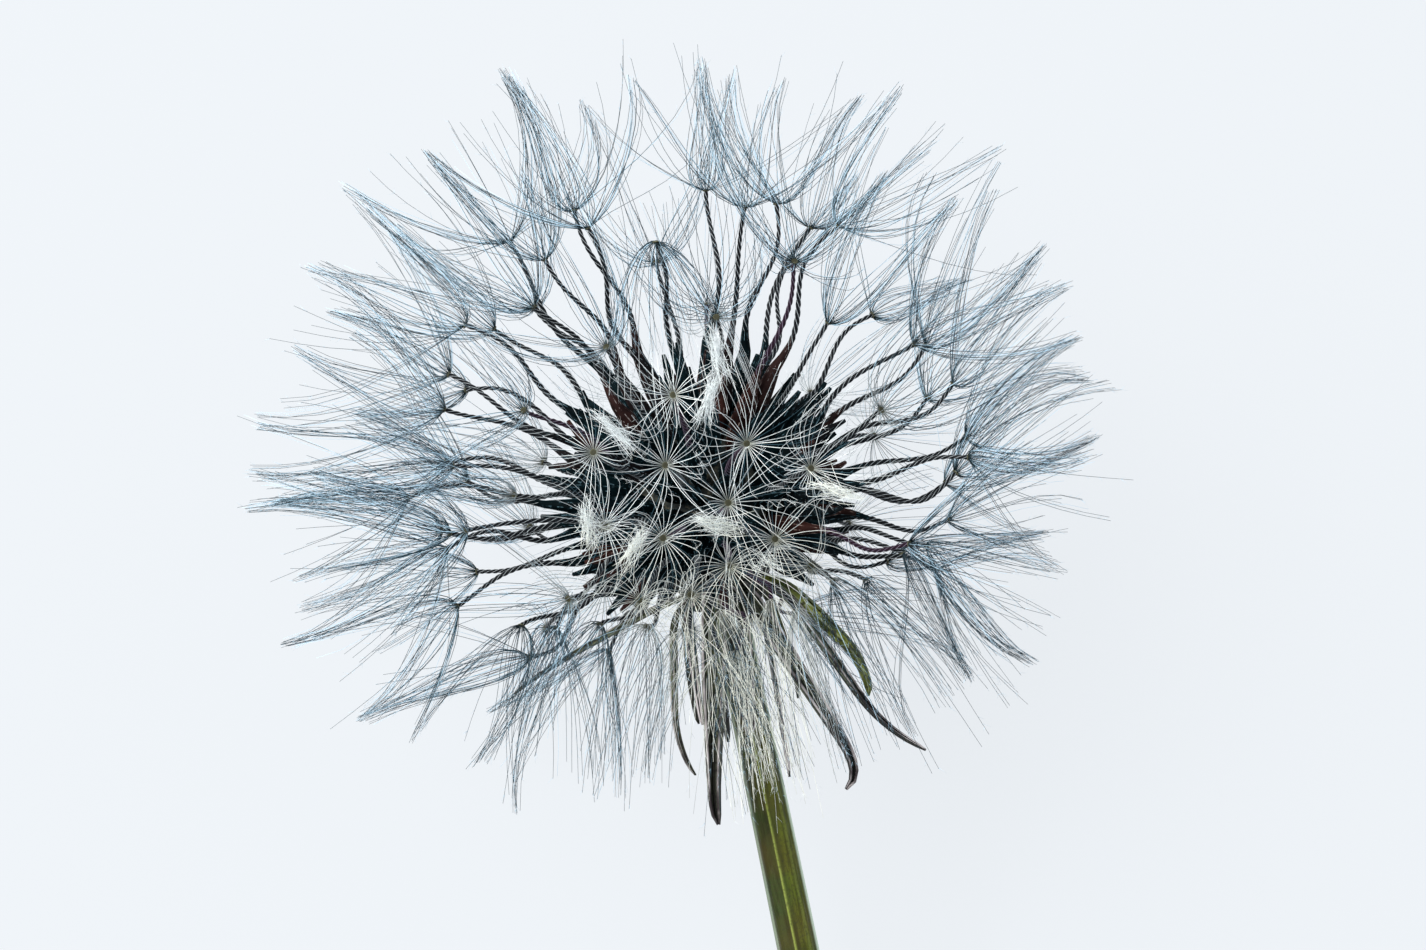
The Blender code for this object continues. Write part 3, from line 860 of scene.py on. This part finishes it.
def make_bodies(seeds, rng):
    """The bodies of the seeds, and the bare ones that close the gaps between them."""
    other = random.Random(RANDOM_SEED + 1)
    spread = BARE_BODIES, LOWEST_BARE_BODY, BARE_JITTER
    bare = crowded(spread_points(*spread, rng))
    bare = Seeds(bare[bare[:, 2] < HIGHEST_BARE_BODY], rng)
    behind = spread_points(*spread, other)
    crown = behind[:, 2] > HIGHEST_BARE_BODY
    behind = Seeds(behind[(behind[:, 1] > FIRST_BEHIND) | crown], other)
    aside = spread_points(*spread, other)
    level = (np.abs(aside[:, 0]) > FIRST_ASIDE) & (aside[:, 1] < LAST_ASIDE)
    aside = Seeds(aside[level], other)
    body, look = body_form(), body_look()
    for name, group, length in (
        ("seed_bodies", seeds, 1.0),
        ("bare_seed_bodies", bare, BARE_SHARE),
        ("bare_seed_bodies_behind", behind, BARE_SHARE),
        ("bare_seed_bodies_aside", aside, ASIDE_SHARE),
    ):
        redness = group.own * (1 - FACING_BLUENESS * group.facing[:, 0])
        make_along(name, group, body, redness, look, length)


def make_discs(seeds):
    disc = disc_form()
    rise = disc.stations[None, :, None] * DISC_RADIUS
    lines = seeds.disc[:, None] + seeds.heading[:, None] * rise
    share = {"share": np.tile((disc.points[:, 2] + 0.3) / 0.6, (seeds.count, 1))}
    grow("discs", disc, lines, seeds.side, share, disc_look(), "seeds", DISC_RADIUS)


def seen_face_on(disc):
    """Whether a seed's disc faces the viewer, or whoever looks from right behind."""
    return abs(disc[1]) > FACING_DEPTH and disc[2] > LOWEST_FACING


def openness(disc):
    """How wide a seed's hairs open, by where its disc stands: widest at the head's top."""
    if seen_face_on(disc):
        return FACING_OPENNESS
    if disc[2] < LOWEST_FACING:
        return HANGING_OPENNESS
    return SIDE_OPENNESS + (1 - SIDE_OPENNESS) * float(smooth_step(disc[2], 4 * MM, 12 * MM))


def hair_lines(disc, heading, side, draws, tufts):
    """Every hair of one seed as a line of points, curving up from its disc to its tuft."""
    tips, axes = tufts
    turn, loose, short, stray, lean, size = draws
    outward = side * np.cos(turn) + np.cross(heading, side) * np.sin(turn)
    opened = openness(disc)
    facing = seen_face_on(disc)
    lean = lean * (1 if facing else opened)
    leaving = heading * np.cos(lean) + outward * np.sin(lean)
    start = disc + heading * 0.1 * DISC_RADIUS + outward * DISC_RADIUS * 0.7
    spread = HAIR_SPREAD * opened
    rise = math.sqrt(HAIR_LENGTH**2 - spread**2)
    alone = start + (outward * spread + heading * rise) * size

    gaps = np.linalg.norm(alone[:, None] - tips[None], axis=2)
    tuft = np.argmin(gaps, 1)
    farthest = FACING_DRAW if facing else FARTHEST_DRAW
    loose = loose | (np.min(gaps, 1) > farthest)[:, None]
    axis = np.where(loose, heading, axes[tuft])
    hanging = (tuft >= len(tips) - len(HANGING_TUFTS))[:, None]
    stray = stray * (LEAST_STRAY + STRAY_WIDENING * short) * np.where(hanging, HANGING_STRAY, 1)
    end = np.where(loose, alone, tips[tuft] - axis * short + stray)

    reach = end - start
    length = np.linalg.norm(reach, axis=1, keepdims=True)
    end = start + reach * np.minimum(1, LONGEST_HAIR / length)
    length = np.minimum(length, LONGEST_HAIR)
    arriving = unit(axis + 0.6 * reach / length)
    first = start + leaving * length * (FACING_START_PULL if facing else HAIR_START_PULL)
    last = end - arriving * length * HAIR_END_PULL
    at = np.linspace(0, 1, HAIR_STEPS + 1)[None, :, None] ** 1.2
    start, first, last, end = (points[:, None] for points in (start, first, last, end))
    lines = start * (1 - at) ** 3 + 3 * first * at * (1 - at) ** 2
    lines = lines + 3 * last * at**2 * (1 - at) + end * at**3
    return lines, np.cross(outward, heading)


def random_hairs(count, loose, rng):
    """The draws for one seed's hairs, a row for each hair."""
    first = rng.uniform(0, 2 * math.pi)
    lean = HAIR_LEAN * rng.uniform(*SEED_LEANS)
    place = np.arange(count)[:, None] + drawn(count, 1, rng.uniform, -HAIR_JITTER, HAIR_JITTER)
    return (
        first + 2 * math.pi * place / count,
        drawn(count, 1, rng.random) < loose,
        np.abs(drawn(count, 1, rng.gauss, 0, SHORTFALL)) * MM,
        drawn(count, 3, rng.gauss, 0, 1),
        lean + drawn(count, 1, rng.gauss, 0, LEAN_JITTER),
        drawn(count, 1, rng.uniform, *HAIR_SIZES),
    )


def painted_light_of(lines, draws):
    """Painted light: 1 before and behind the seed bodies, each hair's own value before the stem, 0
    elsewhere.
    """
    own = draws.choice(LIT_BEFORE_STEM, len(lines))[:, None]
    across, depth, height = lines[..., 0], np.abs(lines[..., 1]), lines[..., 2]
    half_width, half_height = CORE_HALF_SIZE
    core = fading(np.hypot(across / half_width, (height + CORE_DROP) / half_height), *CORE_EDGE)
    stem = fading(np.abs(across), *STEM_EDGE) * (height < HIGHEST_BEFORE_STEM)
    return np.maximum(core, stem * own) * (depth > LIT_DEPTH)


def make_barbs(name, lines, pale, look, draws, dim=0.75):
    """The barbs along these hairs; the barbs of hairs painted pale as lit are dim up to this share
    of the way.
    """
    barb = Form(model_cone(0))
    count = len(lines) * BARBS
    hair = np.repeat(np.arange(len(lines)), BARBS)
    share = 1 - BARBED_SHARE * draws.random(count)
    at = share * HAIR_STEPS
    below = np.minimum(at.astype(int), HAIR_STEPS - 1)
    part = (at - below)[:, None]
    start = lines[hair, below] * (1 - part) + lines[hair, below + 1] * part
    heading = unit(lines[hair, below + 1] - lines[hair, below])
    aside = unit(np.cross(heading, draws.normal(size=(count, 3))))
    lean = np.radians(draws.uniform(*BARB_LEANS, (count, 1)))
    reach = (heading * np.cos(lean) + aside * np.sin(lean)) * BARB_LENGTH
    reach = reach * draws.uniform(*BARB_LENGTHS, (count, 1))
    # each barb takes the painted light of its hair
    light = pale[hair, below]
    attributes = {"lightness": light, "warmth": light * (share < dim), "share": np.ones(count)}
    attributes["own"] = draws.random(count)
    attributes = {label: barb.each_copy(values) for label, values in attributes.items()}
    barbs = np.stack([start, start + reach], 1)
    grow(name, barb, barbs, aside, attributes, look, "seeds", BARB_RADIUS)


def hairs_of(seeds, chosen, counts, loose, tufts, rng):
    """The lines of the chosen seeds' hairs, and the way across each."""
    made = []
    for index in chosen:
        draws = random_hairs(counts[index], loose, rng)
        seed = seeds.disc[index], seeds.heading[index], seeds.side[index]
        made.append(hair_lines(*seed, draws, tufts))
    return [np.concatenate(parts) for parts in zip(*made)]


def make_hairs(seeds, rng):
    """The hairs of all the seeds, and the finer ones among them, in pieces of as many seeds."""
    draws = np.random.default_rng(RANDOM_SEED)
    hair = model_hair()
    tufts = tuft_points(rng)
    look = hair_look("silvery hair", HAIR_SHADED_SLATE, HAIR_LIT_CREAM, HAIR_REFLECTED_STRAW)
    fine_look = hair_look("fine pale hair", FINE_BACKLIT_BLUE, FINE_LIT_CREAM, FINE_DIM)
    counts = [HAIRS] * seeds.count
    face_on = [seen_face_on(disc) for disc in seeds.disc]
    fine_counts = np.where(face_on, FACING_FINE_HAIRS, FINE_HAIRS)
    fine_counts = np.where(seeds.hanging, HANGING_FINE_HAIRS, fine_counts)
    for first in range(0, seeds.count, SEEDS_A_PIECE):
        chosen = range(first, min(first + SEEDS_A_PIECE, seeds.count))
        number = first // SEEDS_A_PIECE + 1

        lines, across = hairs_of(seeds, chosen, counts, LOOSE_HAIRS, tufts, rng)
        # painted light: pale as lit before and behind the seed bodies and some before the stem,
        # painted slate shade elsewhere
        pale = painted_light_of(lines, draws)
        radii = np.where(pale[:, 0] > LIT_ENOUGH, FACING_HAIR_RADIUS, HAIR_RADIUS)
        # painted reflection of the stem and bracts: the lower hairs painted light are tinted straw
        warmth = 0.7 * smooth_step(-lines[..., 2], 1 * MM, 8 * MM) * pale
        add_hairs(f"hairs_{number}", hair, lines, across, radii, pale, warmth, look, rng)
        make_barbs(f"barbs_{number}", lines, pale, fine_look, draws)

        lines, across = hairs_of(seeds, chosen, fine_counts, 0.0, tufts, rng)
        # the same painted light on the finer hairs
        pale = painted_light_of(lines, draws)
        dim = pale * fading(np.linspace(0, 1, HAIR_STEPS + 1), 0.6, 0.85)
        name, radius = f"fine_hairs_{number}", FINE_HAIR_RADIUS
        add_hairs(name, hair, lines, across, radius, pale, dim, fine_look, rng)
    make_fluffs(hair, tufts, look, fine_look, draws, rng)


def make_fluffs(hair, tufts, look, barb_look, draws, rng):
    """The feathery ends of the tufts before the head."""
    last = len(tufts[0]) - len(HANGING_TUFTS)
    facing = np.repeat(np.arange(last - len(FACING_TUFTS), last), FLUFF_HAIRS)
    tuft, axis = (part[facing] for part in tufts)
    strays = draws.normal(size=(3, len(facing), 3))
    start, middle, end = (stray * size * MM for stray, size in zip(strays, FLUFF_STRAYS))
    over = draws.uniform(*FLUFF_OVERSHOOT, (len(facing), 1))
    start = tuft - axis * FLUFF_LENGTH + start
    middle = tuft - axis * 0.45 * FLUFF_LENGTH + middle
    end = tuft + axis * over * FLUFF_LENGTH + end
    at = np.linspace(0, 1, HAIR_STEPS + 1)[None, :, None]
    lines = start[:, None] * (1 - at) ** 2 + 2 * middle[:, None] * at * (1 - at)
    lines = lines + end[:, None] * at**2
    # painted light: all the fluffs painted pale as lit
    pale = np.ones(lines.shape[:2])
    # painted reflection of the stem and bracts: the lower fluffs tinted straw
    warmth = 0.6 * smooth_step(-lines[..., 2], -1 * MM, 3 * MM)
    add_hairs("fluffs", hair, lines, strays[0], FINE_HAIR_RADIUS, pale, warmth, look, rng)
    make_barbs("fluff_barbs", lines, pale, barb_look, draws, 0)


def add_hairs(name, hair, lines, across, radii, pale, warmth, look, rng):
    attributes = {
        "lightness": pale[:, hair.station_of],
        "warmth": warmth[:, hair.station_of],
        "share": np.tile(hair.points[:, 2], (len(lines), 1)),
        "own": hair.each_copy(drawn(len(lines), 1, rng.random)),
    }
    grow(name, hair, lines, across, attributes, look, "seeds", radii)


def make_upright(name, form, node):
    """The one copy of a form that stands straight up in the plant's frame."""
    line = form.stations[None, :, None] * UP
    grow(name, form, line, np.array([[1, 0, 0]]), {}, flesh_look(), node)


def make_pad():
    """The domed pad that the seeds stand on."""
    profile = []
    lowest = math.asin((PAD_BOTTOM - PAD_CENTRE) / PAD_RISE)
    for step in range(PAD_STEPS + 1):
        angle = lowest + (PAD_TOP_ANGLE - lowest) * step / PAD_STEPS
        profile.append((PAD_CENTRE + PAD_RISE * math.sin(angle), PAD_RADIUS * math.cos(angle)))
    make_upright("pad", turned(32, profile), "seeds")


# ---- the cup, the bracts and the stem


def make_cup():
    profile = [
        (CUP_BOTTOM, CUP_FOOT_RADIUS * 0.8),
        (CUP_BOTTOM + 0.3 * MM, CUP_FOOT_RADIUS),
        (CUP_BOTTOM + 1.2 * MM, CUP_FOOT_RADIUS * 1.12),
        (CUP_TOP - 0.6 * MM, CUP_RADIUS * 0.98),
        (CUP_TOP - 0.2 * MM, CUP_RADIUS),
        (CUP_TOP, CUP_RADIUS * 0.9),
    ]
    make_upright("cup", turned(40, profile, groove=0.95), "bracts")


def bract_path(turn, length, lean, curl, sway, hook, shares):
    """Points down one bract, reaching out of the cup and turning back down the stem."""
    outward = np.array([math.cos(turn), math.sin(turn), 0])
    sideways = np.array([-math.sin(turn), math.cos(turn), 0])
    point = outward * BRACT_ROOT_RADIUS + UP * BRACT_ROOT
    points = []
    for share, next_share in zip(shares, list(shares[1:]) + [1.0]):
        points.append(point)
        turned_down = min(1, 0.25 + share / BRACT_TURN_SHARE) ** 0.8
        curled = max(0, share - 1 + BRACT_CURL_SHARE) / BRACT_CURL_SHARE
        fall = (math.pi / 2 - lean) * turned_down - curl * curled
        aside = sway * turned_down + hook * curled**4
        heading = outward * math.cos(fall) - UP * math.sin(fall)
        heading = heading * math.cos(aside) + sideways * math.sin(aside)
        point = point + heading * length * (next_share - share)
    return np.array(points)


def rolled(blade, width, roll):
    """The blade's outline on a rolled section, open outwards: an arc of this whole angle."""
    across, share = blade.points[:, 0], blade.points[:, 2]
    half = width / 2 * (0.8 + 0.3 * np.sin(np.pi * np.minimum(share * 1.2, 1)))
    half = half * np.sqrt(np.clip(1.02 - share**14, 0.02, 1)) * (1 - 0.3 * share)
    amount = roll * (0.8 + 0.2 * smooth_step(share, 0.1, 0.75))
    radius = 2 * half / amount
    angle = across * amount / 2
    return radius * np.sin(angle), radius * (1 - np.cos(angle))


def make_bracts():
    """Thirteen withered bracts, each rolled in along its sides."""
    look = bract_look()
    for number, (turn, lean, length, curl, sway, hook, width, roll, green) in enumerate(BRACTS, 1):
        blade = model_blade(BRACT_COLUMNS, BRACT_STEPS)
        across, share = blade.points[:, 0].copy(), blade.points[:, 2].copy()
        angles = (turn, lean, curl, sway, hook, roll)
        turn, *angles, roll = (math.radians(angle) for angle in angles)
        line = bract_path(turn, length * MM, *angles, blade.stations)
        blade.points[:, 0], blade.points[:, 1] = rolled(blade, width * MM, roll)
        around = np.array([[-math.sin(turn), math.cos(turn), 0]])
        attributes = {"across": across, "share": share, "own": blade.each_copy(green)}
        name = f"bract_{number:02d}"
        thicken(grow(name, blade, line[None], around, attributes, look, "bracts"), BRACT_THICKNESS)


def thicken(thing, thickness, offset=0):
    """Gives a sheet its thickness: to both sides, or with -1 inwards."""
    wall = thing.modifiers.new("wall", "SOLIDIFY")
    wall.thickness = thickness
    wall.offset = offset
    deselect_all()
    thing.select_set(True)
    bpy.context.view_layer.objects.active = thing
    bpy.ops.object.modifier_apply(modifier=wall.name)


def make_stem():
    """The hollow ribbed stem, open at its cut end."""
    profile = []
    for step in range(STEM_STEPS + 1):
        share = step / STEM_STEPS
        profile.append((share, STEM_TOP_RADIUS + share * (STEM_END_RADIUS - STEM_TOP_RADIUS)))
    stem = turned(STEM_RIBS * COLUMNS_A_RIB, profile, closed=False)
    across = stem.points[:, 0] / np.hypot(stem.points[:, 0], stem.points[:, 1])
    angle = np.arctan2(stem.points[:, 1], stem.points[:, 0]) - HIGHLIGHT_RIB
    rib = 1 - RIB_UNEVENNESS + RIB_UNEVENNESS * np.cos(2 * angle)
    rib = (0.5 + 0.5 * np.cos(STEM_RIBS * angle)) * rib
    stem.points[:, :2] *= (1 - RIB_DEPTH * (1 - rib))[:, None]
    # the painted highlight along the rib towards the viewer, and a duller one beside it
    first, second = (math.cos(half) for half in HIGHLIGHT_HALF_WIDTHS)
    beside = smooth_step(np.cos(angle + 2 * math.pi / STEM_RIBS), second, 1)
    highlight = smooth_step(np.cos(angle), first, 1) + SECOND_HIGHLIGHT * beside
    line = np.zeros((1, len(stem.stations), 3))
    line[0, :, 1] = STEM_BOW * np.sin(np.pi * stem.stations)
    line[0, :, 2] = STEM_TOP + stem.stations * (-STEM_REACH - STEM_TOP)
    placed = line @ LAID_TURN.T + LAID_SHIFT
    made = bend(stem, placed, np.array([LAID_TURN[:, 0]]))
    outward = unit(made - placed[:, stem.station_of])
    attributes = {f"outward_{axis}": outward[..., index] for index, axis in enumerate("XYZ")}
    attributes |= {"across": across, "highlight": highlight}
    tube = piece("stem_tube", made, stem.faces, attributes, stem_look(), "stem")
    thicken(tube, STEM_WALL, -1)


# ---- floor, light and camera


def make_floor():
    """A pale surface, lit softly from below like a light table."""
    deselect_all()
    bpy.ops.mesh.primitive_plane_add(size=3, location=(0, 0, 0))
    floor = bpy.context.object
    floor.name = "floor"
    glow = {"Emission_Color": rgb(0.92, 0.96, 1.0), "Emission_Strength": SURFACE_GLOW}
    dull = {"Base_Color": rgb(0.05, 0.052, 0.055), "Specular_IOR_Level": 0.0}
    floor.data.materials.append(Look("pale surface", 0.9, **dull, **glow).material)


def make_lights():
    """A soft sky, and soft lamps round the head."""
    world = bpy.data.worlds.new("soft sky")
    world.use_nodes = True
    sky = world.node_tree.nodes["Background"]
    sky.inputs["Color"].default_value = rgb(0.9, 0.95, 1.0)
    sky.inputs["Strength"].default_value = SKY_STRENGTH
    bpy.context.scene.world = world
    for name, toward, distance, size, power, colour in LIGHTS:
        lamp = bpy.data.lights.new(name, "AREA")
        lamp.size, lamp.energy, lamp.color = size, power, colour
        direction = (LAID.to_3x3() @ Vector(toward)).normalized()
        made = add_object(name, lamp)
        made.location = LAID.translation + direction * distance
        made.rotation_euler = direction.to_track_quat("Z", "Y").to_euler()


def make_camera():
    """A long lens, square to the stem."""
    turn = LAID.to_3x3()
    right = turn @ Vector((math.cos(VIEW_LEAN), 0, -math.sin(VIEW_LEAN)))
    up = turn @ Vector((math.sin(VIEW_LEAN), 0, math.cos(VIEW_LEAN)))
    back = turn @ Vector((0, -1, 0))
    lens = bpy.data.cameras.new("camera")
    lens.lens = 100
    lens.sensor_width = 36
    lens.clip_start = 0.01
    camera = add_object("camera", lens)
    middle = LAID.translation + right * VIEW_SHIFT[0] + up * VIEW_SHIFT[1]
    place = Matrix((right, up, back)).transposed().to_4x4()
    place.translation = middle + back * VIEW_DISTANCE
    camera.matrix_world = place
    bpy.context.scene.camera = camera
    bpy.context.scene.view_settings.view_transform = "Standard"


def main():
    rng = random.Random(RANDOM_SEED)
    directions, droop = standing_seeds(rng)
    seeds = Seeds(directions, rng, droop)
    make_bodies(seeds, rng)
    purple = (seeds.own > FIRST_PURPLE).astype(float)
    make_along("beaks", seeds, beak_form(), purple, beak_look())
    make_discs(seeds)
    make_hairs(seeds, rng)
    make_pad()
    make_cup()
    make_bracts()
    make_stem()
    make_floor()
    make_lights()
    make_camera()


main()
